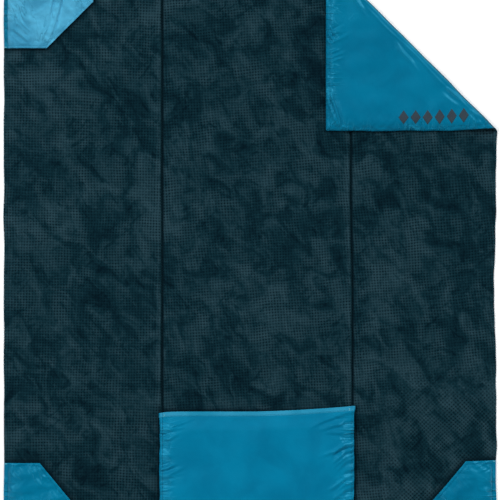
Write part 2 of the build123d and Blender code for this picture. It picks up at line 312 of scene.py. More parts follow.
def finer_ends(values):
    """More grid lines close to both ends, where the cloth is pinched."""
    low, high = values[0], values[-1]
    reach = END_STEPS[-1] + 0.5 * END_STEPS[1]
    kept = [v for v in values if v - low > reach and high - v > reach]
    return np.array(sorted([low + d for d in END_STEPS] + [high - d for d in END_STEPS] + kept))


def finer_bend(values):
    """More grid lines where the left panel bends, beside its seam."""
    extra = lines(LEFT_SEAM - PANEL_BEND - 0.006, LEFT_SEAM - 0.014, 0.004)
    kept = [v for v in values if v < extra[0] - 0.002 or v > extra[-1] + 0.001]
    return np.array(sorted(kept + list(extra)))


def grid(xs, ys):
    """Flat grid as a bmesh."""
    mesh = bmesh.new()
    rows = [[mesh.verts.new((x, y, 0.0)) for x in xs] for y in ys]
    for low, high in zip(rows, rows[1:]):
        for k in range(len(xs) - 1):
            mesh.faces.new((low[k], low[k + 1], high[k + 1], high[k]))
    return mesh


def slice_grid(mesh, point, normal, clear=False):
    bmesh.ops.bisect_plane(
        mesh,
        geom=mesh.verts[:] + mesh.edges[:] + mesh.faces[:],
        dist=1e-6,
        plane_co=(point[0], point[1], 0.0),
        plane_no=(normal[0], normal[1], 0.0),
        clear_outer=clear,
    )


def slice_at_crease(mesh):
    """Rows of edges along the bend, so that it comes out smooth."""
    for k in range(-BEND_ROWS, BEND_ROWS + 1):
        offset = BEND * k / BEND_ROWS / math.sqrt(2)
        slice_grid(mesh, (CREASE_X + offset, CREASE_Y + offset), (1, 1))


def plan_points(mesh):
    mesh.verts.index_update()
    return np.array([v.co for v in mesh.verts], float)


def plan_faces(mesh):
    return [[v.index for v in f.verts] for f in mesh.faces]


def add_map(mesh, name, places):
    """A UV map that gives each point's place."""
    layer = mesh.uv_layers.new(name=name)
    corners = np.zeros(len(mesh.loops), np.int32)
    mesh.loops.foreach_get("vertex_index", corners)
    layer.data.foreach_set("uv", places[corners].astype(np.float32).ravel())


def new_piece(name, points, faces, flat, material, sewn=None):
    """Object with smooth faces, and a map of where each point lies on the flat cloth.

    The sewn map is the place along the nearest sewn edge and the distance from it. On the plush it holds
    the painted shadow beside a pocket, and 0.
    """
    mesh = bpy.data.meshes.new(name)
    mesh.from_pydata([tuple(p) for p in points], [], faces)
    mesh.polygons.foreach_set("use_smooth", [True] * len(mesh.polygons))
    add_map(mesh, "flat", flat)
    if sewn is not None:
        add_map(mesh, "sewn", sewn)
    mesh.materials.append(material)
    piece = bpy.data.objects.new(name, mesh)
    bpy.context.scene.collection.objects.link(piece)
    return piece


def edge_sewn(x, y):
    """Place along the blanket's nearest edge, and the distance from it."""
    from_side = X_MAX - np.abs(x) < Y_MAX - np.abs(y)
    return np.column_stack([np.where(from_side, y, x), edge_distance(x, y)])


def cloth_between(name, plan, upper, lower, material, sewn=None):
    """Closed sheet between two sets of points over the same plan, with its rim joined."""
    count = len(upper)
    faces = plan_faces(plan)
    under = [[k + count for k in reversed(f)] for f in faces]
    rim = []
    for edge in plan.edges:
        if len(edge.link_loops) == 1:
            loop = edge.link_loops[0]
            a, b = loop.vert.index, loop.link_loop_next.vert.index
            rim.append([b, a, a + count, b + count])
    plan.free()
    flat = np.concatenate([upper[:, :2], lower[:, :2]])
    points = placed(np.concatenate([upper, lower]))
    if sewn is None:
        sewn = edge_sewn(flat[: count, 0], flat[: count, 1])
    return new_piece(name, points, faces + under + rim, flat, material, np.concatenate([sewn, sewn]))


def cloth(name, plan, top, bottom, material, sewn_map=edge_sewn):
    """Closed sheet between two height functions."""
    points = plan_points(plan)
    x, y = points[:, 0], points[:, 1]
    upper = np.column_stack([x, y, top(x, y)])
    lower = np.column_stack([x, y, bottom(x, y)])
    return cloth_between(name, plan, upper, lower, material, sewn_map(x, y))


def pocket_shadow(x, y):
    """Painted shadow close outside the pockets' edges, from 0 to 1, weaker just above the stuff pocket's
    mouth.
    """
    shape = [np.maximum(np.maximum(LEFT_SEAM - x, x - RIGHT_SEAM), y - MOUTH_LEFT_Y)]
    for pocket in CORNER_POCKETS.values():
        shape.append(-pocket_frame(pocket, x, y)[2])
    painted_shadow = np.zeros_like(x)
    for outside, reach in zip(shape, (0.010, 0.007, 0.010, 0.010, 0.007)):
        painted_shadow = np.maximum(painted_shadow, np.exp(-((np.maximum(outside - 0.003, 0.0) / reach) ** 1.5)))
    above = smooth((y - MOUTH_LEFT_Y - 0.002) / 0.004) * (np.abs(x - 0.02) < 0.28) * (y < 0)
    return np.column_stack([painted_shadow * (1 - 0.6 * above), np.zeros_like(x)])


def coordinates(piece):
    co = np.zeros(len(piece.data.vertices) * 3)
    piece.data.vertices.foreach_get("co", co)
    return co.reshape(-1, 3)


def set_coordinates(piece, points):
    piece.data.vertices.foreach_set("co", points.astype(np.float32).ravel())
    piece.data.update()


FLAT = []


def keep(piece, carrier, slot, *nodes):
    """Notes a piece that still lies flat: what carries it and the nodes it stands for. Its finish, slot, is
    not used.
    """
    FLAT.append((piece, carrier))
    if nodes:
        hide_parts(*nodes)
    return piece


def carry_all():
    """Puts each piece carried by a body on it, bakes the others in place, and turns over what belongs to the
    corner.
    """
    for piece, carrier in FLAT:
        if carrier == "across":
            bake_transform(piece)
        elif carrier == "folding":
            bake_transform(piece)
        else:
            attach(piece, carrier)
        if carrier in ("across", "corner_flap"):
            set_coordinates(piece, turned_over(coordinates(piece)))


# ---- cloth simulation

SIM_SCALE = 10.0
SIM_FRAMES = 16
SIM_BENDING = 0.3
SIM_STIFFNESS = 12.0


def settle(points, faces, pins, grow, pressure):
    """Points of a cloth after simulation, held where pins is 1, with extra cloth by the share grow."""
    scene = bpy.context.scene
    mesh = bpy.data.meshes.new("settling")
    mesh.from_pydata([tuple(p * SIM_SCALE) for p in points], [], faces)
    piece = bpy.data.objects.new("settling", mesh)
    scene.collection.objects.link(piece)
    group = piece.vertex_groups.new(name="pins")
    for level in np.unique(pins[pins > 0]):
        group.add([int(k) for k in np.flatnonzero(pins == level)], float(level), "REPLACE")
    modifier = piece.modifiers.new("cloth", "CLOTH")
    settings = modifier.settings
    settings.quality = 6
    settings.mass = 0.2
    settings.tension_stiffness = SIM_STIFFNESS
    settings.compression_stiffness = SIM_STIFFNESS
    settings.shear_stiffness = SIM_STIFFNESS / 3
    settings.bending_stiffness = SIM_BENDING
    settings.vertex_group_mass = "pins"
    settings.shrink_min = -grow
    settings.shrink_max = -grow
    settings.use_pressure = pressure != 0
    settings.uniform_pressure_force = pressure
    settings.effector_weights.gravity = 0.0
    modifier.collision_settings.use_collision = False
    modifier.point_cache.frame_start = 1
    modifier.point_cache.frame_end = SIM_FRAMES
    for number in range(1, SIM_FRAMES + 1):
        scene.frame_set(number)
    seen = piece.evaluated_get(bpy.context.evaluated_depsgraph_get())
    result = np.zeros(len(points) * 3)
    seen.data.vertices.foreach_get("co", result)
    scene.frame_set(1)
    bpy.data.objects.remove(piece)
    bpy.data.meshes.remove(mesh)
    return result.reshape(-1, 3) / SIM_SCALE


# ---- materials


def new_material(name):
    material = bpy.data.materials.new(name)
    material.use_nodes = True
    tree = material.node_tree
    return material, tree, tree.nodes["Principled BSDF"]


def set_sockets(shader, values):
    """Numbers and colours that are the same all over, on the shader's own sockets."""
    for name, value in values.items():
        shader.inputs[name].default_value = value


def uv_place(tree, name):
    node = tree.nodes.new("ShaderNodeUVMap")
    node.uv_map = name
    return node.outputs["UV"]


def axes(tree, vector):
    """The X, Y and Z of a vector."""
    split = tree.nodes.new("ShaderNodeSeparateXYZ")
    tree.links.new(vector, split.inputs[0])
    return split.outputs["X"], split.outputs["Y"], split.outputs["Z"]


def calculate(tree, operation, *values):
    """A Math node; numbers are set on its sockets, and other nodes' outputs are linked."""
    made = tree.nodes.new("ShaderNodeMath")
    made.operation = operation
    for socket, value in zip(made.inputs, values):
        if isinstance(value, (int, float)):
            socket.default_value = value
        else:
            tree.links.new(value, socket)
    return made.outputs[0]


def flat_place(tree, scale=(1.0, 1.0), angle=0.0, source=None):
    """Place on the flat cloth, in metres, turned and scaled."""
    if source is None:
        source = uv_place(tree, "flat")
    mapping = tree.nodes.new("ShaderNodeMapping")
    mapping.vector_type = "TEXTURE"
    mapping.inputs["Rotation"].default_value = (0.0, 0.0, angle)
    mapping.inputs["Scale"].default_value = (1 / scale[0], 1 / scale[1], 1.0)
    tree.links.new(source, mapping.inputs["Vector"])
    return mapping.outputs["Vector"]


def noise_node(tree, vector, scale, detail=2.0, rough=0.5, distortion=0.0):
    made = tree.nodes.new("ShaderNodeTexNoise")
    made.inputs["Scale"].default_value = scale
    made.inputs["Detail"].default_value = detail
    made.inputs["Roughness"].default_value = rough
    made.inputs["Distortion"].default_value = distortion
    tree.links.new(vector, made.inputs["Vector"])
    return made


def noise(tree, vector, scale, detail=2.0, rough=0.5, distortion=0.0):
    return noise_node(tree, vector, scale, detail, rough, distortion).outputs["Fac"]


def remap(tree, value, low, high, to_low=0.0, to_high=1.0):
    made = tree.nodes.new("ShaderNodeMapRange")
    made.inputs["From Min"].default_value = low
    made.inputs["From Max"].default_value = high
    made.inputs["To Min"].default_value = to_low
    made.inputs["To Max"].default_value = to_high
    tree.links.new(value, made.inputs["Value"])
    return made.outputs["Result"]


def mix_colour(tree, share, first, second):
    made = tree.nodes.new("ShaderNodeMix")
    made.data_type = "RGBA"
    tree.links.new(share, made.inputs["Factor"])
    for socket, value in ((made.inputs[6], first), (made.inputs[7], second)):
        if isinstance(value, tuple):
            socket.default_value = value
        else:
            tree.links.new(value, socket)
    return made.outputs[2]


def mix_value(tree, share, first, second):
    made = tree.nodes.new("ShaderNodeMix")
    made.data_type = "FLOAT"
    for socket, value in ((made.inputs[0], share), (made.inputs[2], first), (made.inputs[3], second)):
        if isinstance(value, (int, float)):
            socket.default_value = value
        else:
            tree.links.new(value, socket)
    return made.outputs[0]


def bump(tree, height, distance, strength=1.0, before=None):
    made = tree.nodes.new("ShaderNodeBump")
    made.inputs["Strength"].default_value = strength
    made.inputs["Distance"].default_value = distance
    tree.links.new(height, made.inputs["Height"])
    if before is not None:
        tree.links.new(before, made.inputs["Normal"])
    return made.outputs["Normal"]


def wandering(tree, place, scale, amount):
    """The place pushed about by a slow noise, so that rows are not quite straight."""
    drift = noise_node(tree, place, scale, 2.0).outputs["Color"]
    centred = tree.nodes.new("ShaderNodeVectorMath")
    centred.operation = "SUBTRACT"
    tree.links.new(drift, centred.inputs[0])
    centred.inputs[1].default_value = (0.5, 0.5, 0.5)
    moved = tree.nodes.new("ShaderNodeVectorMath")
    moved.operation = "MULTIPLY_ADD"
    tree.links.new(centred.outputs[0], moved.inputs[0])
    moved.inputs[1].default_value = (amount, amount, 0.0)
    tree.links.new(place, moved.inputs[2])
    return moved.outputs[0]


def wave_pair(tree, place):
    """Cosines across and along, one period for each unit of the place."""
    turns = [calculate(tree, "MULTIPLY", axis, 2 * math.pi) for axis in axes(tree, place)[:2]]
    return [calculate(tree, "COSINE", turn) for turn in turns]


PLUSH_LIGHT = (0.0180, 0.0490, 0.0650, 1.0)
PLUSH_MIDDLE = (0.0034, 0.0225, 0.0325, 1.0)
PLUSH_DARK = (0.0002, 0.0066, 0.0122, 1.0)
PLUSH_PIT = (0.0001, 0.0035, 0.0070, 1.0)
PLUSH_SHEEN = (0.10, 0.45, 0.60, 1.0)


def seam_shade(tree, across):
    """Painted shade: 1 on the open pile, near 0 down in the panel seams, and low close outside the pockets.
    """
    painted_shadow = axes(tree, uv_place(tree, "sewn"))[0]
    shade = remap(tree, painted_shadow, 0.0, 1.0, 1.0, 0.15)
    for seam in (LEFT_SEAM, RIGHT_SEAM):
        past = calculate(tree, "SUBTRACT", across, seam)
        left = remap(tree, past, -0.0010, -0.0030)
        right = remap(tree, past, 0.0034, 0.0090)
        clear = calculate(tree, "MAXIMUM", left, right)
        shade = calculate(tree, "MULTIPLY", clear, shade)
    return shade


def seam_highlight(tree, across):
    """Painted highlight: 1 along the lit swelling left of each panel seam."""
    ridge = 0.0
    for seam in (LEFT_SEAM, RIGHT_SEAM):
        past = calculate(tree, "SUBTRACT", across, seam)
        near = remap(tree, past, -0.0225, -0.0090)
        far = remap(tree, past, -0.0020, -0.0060)
        ridge = calculate(tree, "ADD", calculate(tree, "MULTIPLY", near, far), ridge)
    return ridge


def plush_material(name, angle):
    """Short pile embossed in small square cells, with strokes where the nap lies the other way."""
    material, tree, shader = new_material(name)
    place = flat_place(tree)

    loose = wandering(tree, place, 6.0, 0.016)
    pitches = (1 / WAFFLE_PITCH, 1 / WAFFLE_PITCH)
    across, along = wave_pair(tree, flat_place(tree, pitches, angle, loose))
    net = calculate(tree, "MULTIPLY", calculate(tree, "ADD", across, along), 0.5)
    across, along = wave_pair(tree, flat_place(tree, pitches, math.radians(45), loose))
    checks = calculate(tree, "MULTIPLY", calculate(tree, "ADD", across, along), 0.5)
    x, y, _ = axes(tree, place)
    to_right = remap(tree, x, 0.36, 0.48)
    to_front = remap(tree, y, -0.30, -0.46)
    slanted = calculate(tree, "MULTIPLY", to_right, to_front)
    lattice = mix_value(tree, slanted, net, checks)

    swirl = noise(tree, flat_place(tree, (1.0, 1.5), math.radians(-50)), 12.0, 5.0, 0.55, 0.9)
    strokes = noise(tree, flat_place(tree, (1.0, 2.6), math.radians(-60)), 22.0, 2.0, 0.5, 0.8)
    cross_strokes = noise(tree, flat_place(tree, (1.0, 2.4), math.radians(42)), 24.0, 2.0, 0.5, 0.8)
    strokes = mix_value(tree, remap(tree, noise(tree, place, 5.0, 1.0), 0.44, 0.56), strokes, cross_strokes)
    strokes = remap(tree, strokes, 0.54, 0.70)
    fluff = noise(tree, place, 95.0, 3.0, 0.7)
    nap = calculate(tree, "MULTIPLY_ADD", fluff, 0.25, swirl)
    nap = calculate(tree, "MULTIPLY_ADD", noise(tree, place, 3.4, 1.0), 0.46, nap)
    nap = calculate(tree, "MULTIPLY_ADD", strokes, -0.15, nap)
    # Painted highlight on the lit swelling beside each seam, added into the nap tone.
    nap = calculate(tree, "MULTIPLY_ADD", seam_highlight(tree, x), 0.12, nap)
    nap = remap(tree, nap, 0.57, 1.06)

    colour = mix_colour(tree, remap(tree, nap, 0.0, 0.5), PLUSH_DARK, PLUSH_MIDDLE)
    colour = mix_colour(tree, remap(tree, nap, 0.45, 1.0), colour, PLUSH_LIGHT)
    pit = remap(tree, lattice, 0.30, -0.95)
    clear = remap(tree, noise(tree, place, 17.0, 2.0), 0.38, 0.60, 0.58, 0.95)
    pit = calculate(tree, "MULTIPLY", pit, clear)
    colour = mix_colour(tree, pit, colour, PLUSH_PIT)
    # Painted shade in the seams and beside the pockets, in the pit colour.
    colour = mix_colour(tree, seam_shade(tree, x), PLUSH_PIT, colour)
    tree.links.new(colour, shader.inputs["Base Color"])

    normal = bump(tree, lattice, 0.0010, 0.6)
    normal = bump(tree, nap, 0.0025, 0.5, normal)
    normal = bump(tree, noise(tree, place, 900.0, 2.0, 0.6), 0.0004, 0.5, normal)
    tree.links.new(normal, shader.inputs["Normal"])
    set_sockets(shader, {"Roughness": 0.95, "Specular IOR Level": 0.04})
    set_sockets(shader, {"Sheen Weight": 0.25, "Sheen Roughness": 0.5, "Sheen Tint": PLUSH_SHEEN})
    return material


SHELL_DEEP = (0.0004, 0.146, 0.276, 1.0)
SHELL_PALE = (0.0006, 0.180, 0.328, 1.0)
# Hem tones: the shell cloth made paler, a painted highlight along the stuff pocket's mouth.
HEM_LIT_DEEP = (0.0100, 0.200, 0.340, 1.0)
HEM_LIT_PALE = (0.0260, 0.255, 0.420, 1.0)
SHELL_SHEEN = (0.12, 0.70, 1.0, 1.0)
# Share for a shaded copy of the shell cloth, used on the corner and the bottom pockets: painted shade.
DARKER = 0.86
# Painted shade for the crumpled cloth's border band and its creases.
BORDER_AND_CREASE_SHADE = (0.0008, 0.120, 0.215, 1.0)
# Painted shade line along the corner's fold.
FOLD_LINE_SHADE = (0.0004, 0.050, 0.085, 1.0)
# Painted highlight: pale streaks on the puckers beside sewn edges.
STREAK_HIGHLIGHT = (0.0160, 0.280, 0.440, 1.0)
# Lit copy of the shell cloth's tones for the top left pocket: painted light.
LIT_DEEP = (0.0330, 0.225, 0.385, 1.0)
LIT_PALE = (0.0740, 0.355, 0.555, 1.0)


def pulled_cloth(tree):
    """Height of the fine sharp puckers that run in from a sewn edge."""
    sewn = uv_place(tree, "sewn")
    streaks = noise(tree, flat_place(tree, (52.0, 11.0), 0.0, sewn), 1.0, 1.0, 0.5, 0.6)
    ridge = calculate(tree, "ABSOLUTE", calculate(tree, "SUBTRACT", streaks, 0.5))
    ridge = remap(tree, ridge, 0.0, 0.07, 1.0, 0.0)
    fade = remap(tree, axes(tree, sewn)[1], 0.002, 0.070, 1.0, 0.0)
    fade = calculate(tree, "MULTIPLY", fade, fade)
    patchy = noise(tree, flat_place(tree, (9.0, 9.0), 0.0, sewn), 1.0, 1.0)
    patchy = remap(tree, patchy, 0.4, 0.62)
    return calculate(tree, "MULTIPLY", ridge, calculate(tree, "MULTIPLY", fade, patchy))


def creases(tree, place, scale, stretch, angle, width, seen):
    """Thin creases in patches: 1 on the creases, which run along a stretched noise's middle level."""
    level = noise(tree, flat_place(tree, (1.0, stretch), angle, place), scale, 2.0, 0.5, 0.3)
    away = calculate(tree, "ABSOLUTE", calculate(tree, "SUBTRACT", level, 0.5))
    line = remap(tree, away, 0.0, width, 1.0, 0.0)
    patch = remap(tree, noise(tree, place, scale / 2.2, 1.0), seen, seen + 0.12)
    return calculate(tree, "MULTIPLY", line, patch)


WEAVE_PITCH = 0.0008


# Colour scaled down for the shaded copy of the cloth: painted shade.
def darker(colour):
    return tuple(channel * DARKER for channel in colour[:3]) + (1.0,)


def taffeta_material(name, deep=SHELL_DEEP, pale=SHELL_PALE, crumpled=False, fold_line_shaded=False):
    """Tight smooth cloth with a soft gloss, fine threads and small crinkles.

    Crumpled cloth has creases, with painted shade in them and in a band along its border; with the fold
    option, a painted shade line runs at the fold.
    """
    material, tree, shader = new_material(name)
    place = flat_place(tree)
    across, along = wave_pair(tree, flat_place(tree, (1 / WEAVE_PITCH, 1 / WEAVE_PITCH)))
    weave = calculate(tree, "MULTIPLY", across, along)
    tone = noise(tree, place, 9.0, 4.0, 0.55, 0.4)
    tone = remap(tree, calculate(tree, "MULTIPLY_ADD", weave, 0.04, tone), 0.37, 0.63)
    colour = mix_colour(tree, tone, deep, pale)
    pulled = pulled_cloth(tree)
    # Painted highlight along the puckers beside the sewn edges.
    colour = mix_colour(tree, calculate(tree, "MULTIPLY", pulled, 0.40), colour, STREAK_HIGHLIGHT)
    crinkle = noise(tree, place, 45.0, 3.0, 0.55, 0.8)
    normal = bump(tree, crinkle, 0.0007, 0.5)
    normal = bump(tree, pulled, 0.0034, 0.9, normal)
    if crumpled:
        steep = creases(tree, place, 9.0, 4.4, math.radians(-62), 0.018, 0.46)
        slanting = creases(tree, place, 10.0, 4.2, math.radians(72), 0.018, 0.46)
        lines_seen = calculate(tree, "MAXIMUM", steep, slanting)
        inward = axes(tree, uv_place(tree, "sewn"))[1]
        # Painted shade: a darker band along the sewn border, and in the creases below.
        colour = mix_colour(tree, remap(tree, inward, 0.0095, 0.0150), BORDER_AND_CREASE_SHADE, colour)
        colour = mix_colour(tree, calculate(tree, "MULTIPLY", lines_seen, 0.45), colour, BORDER_AND_CREASE_SHADE)
        normal = bump(tree, lines_seen, -0.0030, 0.6, normal)
    if fold_line_shaded:
        x, y, _ = axes(tree, place)
        total = calculate(tree, "ADD", x, y)
        away = calculate(tree, "ABSOLUTE", calculate(tree, "SUBTRACT", total, CREASE_SUM))
        # Painted shade: a dark line along the fold.
        colour = mix_colour(tree, remap(tree, away, 0.0060, 0.0130), FOLD_LINE_SHADE, colour)
    tree.links.new(colour, shader.inputs["Base Color"])
    tree.links.new(normal, shader.inputs["Normal"])
    gloss = remap(tree, noise(tree, place, 25.0, 2.0, 0.5), 0.3, 0.7, 0.32, 0.42)
    tree.links.new(gloss, shader.inputs["Roughness"])
    set_sockets(shader, {"Specular IOR Level": 0.36, "Specular Tint": SHELL_SHEEN})
    set_sockets(shader, {"Sheen Weight": 0.10, "Sheen Roughness": 0.3, "Sheen Tint": SHELL_SHEEN})
    return material


def speckled_material(name, first, second, scale, depth, roughness):
    """Matte material whose two tones and bump come from one fine noise."""
    first, second = first + (1.0,), second + (1.0,)
    material, tree, shader = new_material(name)
    grain = noise(tree, flat_place(tree), scale, 4.0, 0.65)
    tree.links.new(mix_colour(tree, grain, first, second), shader.inputs["Base Color"])
    tree.links.new(bump(tree, grain, depth, 0.7), shader.inputs["Normal"])
    set_sockets(shader, {"Roughness": roughness, "Specular IOR Level": 0.12})
    return material


PLUSH = {
    "left": plush_material("plush_left", math.radians(-1.0)),
    "centre": plush_material("plush_centre", math.radians(4.0)),
    "right": plush_material("plush_right", math.radians(5.0)),
}
TAFFETA = taffeta_material("taffeta")
# Shaded copy of the shell cloth, painted shade, with a painted shade line at the fold.
TAFFETA_SHADED = taffeta_material("taffeta_deep", darker(SHELL_DEEP), darker(SHELL_PALE), fold_line_shaded=True)
# Lit copy of the shell cloth for the stuff pocket's hem: painted highlight.
TAFFETA_HEM_LIT = taffeta_material("taffeta_hem", HEM_LIT_DEEP, HEM_LIT_PALE)
# Lit copy for the top left pocket, painted light, crumpled with painted shade in its creases and border.
TAFFETA_LIT = taffeta_material("taffeta_raised", LIT_DEEP, LIT_PALE, True)
YARN = (900, 0.0003)
THREAD = speckled_material("shell_thread", (0.0004, 0.085, 0.165), (0.0006, 0.115, 0.215), *YARN, 0.6)
DARK_THREAD = speckled_material("plush_thread", (0.0006, 0.010, 0.016), (0.0012, 0.016, 0.024), *YARN, 0.8)
PALE_THREAD = speckled_material("tack_thread", (0.08, 0.36, 0.46), (0.22, 0.58, 0.66), *YARN, 0.6)
BATTING = speckled_material("batting", (0.62, 0.62, 0.60), (0.90, 0.90, 0.88), 220, 0.002, 1.0)
PRINT = speckled_material("transfer_print", (0.022, 0.036, 0.050), (0.036, 0.056, 0.074), 300, 0.0001, 0.6)


# ---- panels


def panel_plan(x_low, x_high, step, crossing):
    xs = finer_ends(lines(x_low, x_high, step))
    if not crossing:
        xs = finer_bend(xs)
    plan = grid(xs, finer_ends(lines(-Y_MAX, Y_MAX, step)))
    if crossing:
        slice_at_crease(plan)
    return plan


FLAP_WRINKLE_ROOM = 0.0035
FLAP_WRINKLE_RISE = 0.006
SHELL_LEFT_STEP = 0.009
BATTING_STEP = 0.02
BATTING_MARGIN = 0.013
BATTING_GAP = 0.0012
BATTING_LEAST = 0.0003
BATTING_RIM = 0.030


def batting_low(x, y):
    """Underside of the padding, clear of the wrinkles of the corner's shell."""
    return shell_high(x, y) + BATTING_GAP + FLAP_WRINKLE_ROOM * smooth(past_crease(x, y) / BEND)


def batting_top(x, y):
    return np.maximum(lining_low(x, y) - BATTING_LEAST, batting_low(x, y) + BATTING_LEAST)


def clear_rim(plan):
    """The corner's padding stops short of the pinched edge, which has no room for it beside the wrinkles."""
    rim = []
    for face in plan.faces:
        x, y, _ = face.calc_center_median()
        if past_crease(x, y) > 0 and edge_distance(x, y) < BATTING_RIM:
            rim.append(face)
    bmesh.ops.delete(plan, geom=rim, context="FACES")


def make_panel(name, x_low, x_high):
    """One panel's plush, and the padding inside it."""
    crossing = name != "left"
    carrier = "across" if crossing else "folding"
    plan = panel_plan(x_low, x_high, PANEL_STEP, crossing)
    # The plush's sewn map carries the painted shadow beside the pockets.
    lining = cloth(f"lining_{name}_plush", plan, lining_top, lining_low, PLUSH[name], pocket_shadow)
    xs = lines(x_low + BATTING_MARGIN, x_high - BATTING_MARGIN, BATTING_STEP)
    if not crossing:
        xs = finer_bend(xs)
    plan = grid(xs, lines(BATTING_MARGIN - Y_MAX, Y_MAX - BATTING_MARGIN, BATTING_STEP))
    if crossing:
        slice_at_crease(plan)
        clear_rim(plan)
    batting = cloth(f"batting_{name}", plan, batting_top, batting_low, BATTING)
    parts = ["", "corner_"] if crossing else [""]
    keep(lining, carrier, "plush", *[part + "lining_" + name for part in parts])
    keep(batting, carrier, "batting", *[part + "insulation_" + name for part in parts])


def make_shell_left():
    plan = panel_plan(-X_MAX, LEFT_SEAM, SHELL_LEFT_STEP, False)
    piece = cloth("shell_left_cloth", plan, shell_high, shell_low, TAFFETA)
    keep(piece, "folding", "shell_cloth", "shell_left")


def flap_folds(x, y):
    """Wrinkles of the shell on the folded corner, by place as seen from above, from the tip."""
    u, v = Y_MAX - y, X_MAX - x
    total = folds(u, v, (-0.008, 0.200), (0.062, -0.030), 2, 0.011, 0.0042, 0.0060, 71)
    total += folds(u, v, (-0.003, 0.140), (0.048, -0.020), 1, 0.010, 0.0042, 0.0056, 78)
    total += folds(u, v, (-0.010, 0.258), (0.075, 0.300), 4, 0.011, 0.0040, 0.0052, 72)
    total += folds(u, v, (-0.008, 0.203), (0.060, 0.230), 3, 0.013, 0.0042, 0.0052, 73)
    total += folds(u, v, (-0.002, 0.300), (0.036, 0.245), 3, 0.011, 0.0040, 0.0044, 79)
    total += folds(u, v, (0.060, 0.440), (0.130, 0.340), 3, 0.013, 0.0050, 0.0036, 74)
    total += folds(u, v, (0.165, 0.322), (0.345, 0.148), 2, 0.011, 0.0050, 0.0034, 75)
    total += folds(u, v, (0.200, 0.262), (0.300, 0.150), 2, 0.016, 0.0050, 0.0022, 80)
    total += folds(u, v, (0.335, 0.125), (0.415, 0.062), 2, 0.014, 0.0050, 0.0034, 76)
    total += folds(u, v, (0.425, 0.060), (0.470, 0.020), 3, 0.010, 0.0045, 0.0034, 77)
    return total


def flap_lift(points):
    """Wrinkles of the corner's shell: slow swells, the folds seen and puckers at the sewn edges."""
    x, y = points[:, 0], points[:, 1]
    edge = edge_distance(x, y)
    inner = smooth((past_crease(x, y) - 0.007) / 0.012) * smooth(edge / 0.004)
    wrinkles = 0.0011 * field(x, y, 0.085, 31) * np.exp(-edge / 0.12) - flap_folds(x, y)
    wrinkles -= 0.0011 * puckers(edge, x - y, 0.020, 32, 0.016)
    wrinkles -= 0.0016 * stitch_dip(past_crease(x, y), 0.021 + 0.003 * field(x, y, 0.11, 33), 0.0040)
    return np.clip(wrinkles * inner, -FLAP_WRINKLE_RISE, FLAP_WRINKLE_ROOM)


def make_shell():
    """Shell right of the fold line: one cloth over the base and the corner."""
    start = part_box("corner_shell")[0]
    near_x, near_y = start.x - 0.01, start.y - 0.01
    xs = np.concatenate([lines(LEFT_SEAM, near_x, 0.016)[:-1], lines(near_x, X_MAX, FINE_STEP)])
    ys = np.concatenate([lines(-Y_MAX, near_y, 0.02)[:-1], lines(near_y, Y_MAX, FINE_STEP)])
    plan = grid(xs, ys)
    slice_at_crease(plan)
    points = plan_points(plan)
    x, y = points[:, 0], points[:, 1]
    corner = past_crease(x, y) >= -1e-6
    lift = np.zeros(len(points))
    lift[corner] = flap_lift(points[corner])
    inner_face = np.minimum(shell_high(x, y) + lift, lining_low(x, y) - 0.0005)
    thin = shell_high(x, y) - shell_low(x, y)
    upper = np.column_stack([x, y, inner_face])
    lower = np.column_stack([x, y, np.maximum(inner_face - thin, np.where(corner, -1.0, 0.0))])
    # The right shell, corner included, is in the shaded copy of the cloth: painted shade.
    piece = cloth_between("shell_cloth_right", plan, upper, lower, TAFFETA_SHADED)
    keep(piece, "across", "shell_cloth", "shell", "corner_shell")


# ---- corner pockets


def pocket_frame(pocket, x, y):
    """Distances in from the side edge, from the end edge and from the nearest open side."""
    a = X_MAX - pocket["side"] * x
    b = Y_MAX - pocket["end"] * y
    run = POCKET_LEG - pocket["side_cut"]
    rise = POCKET_LEG - pocket["end_cut"]
    slanting = ((pocket["side_cut"] - a) * rise + (POCKET_LEG - b) * run) / math.hypot(run, rise)
    return a, b, np.minimum(np.minimum(POCKET_LEG - a, POCKET_LEG - b), slanting)


def pocket_plan(pocket):
    side, end = pocket["side"], pocket["end"]
    reach = lines(0.0, POCKET_LEG, POCKET_STEP)
    plan = grid(np.sort(side * (X_MAX - reach)), np.sort(end * (Y_MAX - reach)))
    run = POCKET_LEG - pocket["side_cut"]
    rise = POCKET_LEG - pocket["end_cut"]
    point = (side * (X_MAX - pocket["side_cut"]), end * (Y_MAX - POCKET_LEG))
    slice_grid(plan, point, (-side * rise, -end * run), clear=True)
    return plan


def pocket_height(pocket, x, y):
    """Loose pocket cloth: down at the sewn edges, lifted inside and at the mouth."""
    a, b, mouth = pocket_frame(pocket, x, y)
    sewn = np.minimum(a, b)
    gape = pocket["gape"]
    lift = POCKET_LIFT * puff(sewn, 0.07, 1.5) * (gape + (1 - gape) * smooth(mouth / 0.05))
    return lining_top(x, y) + 0.0012 + lift


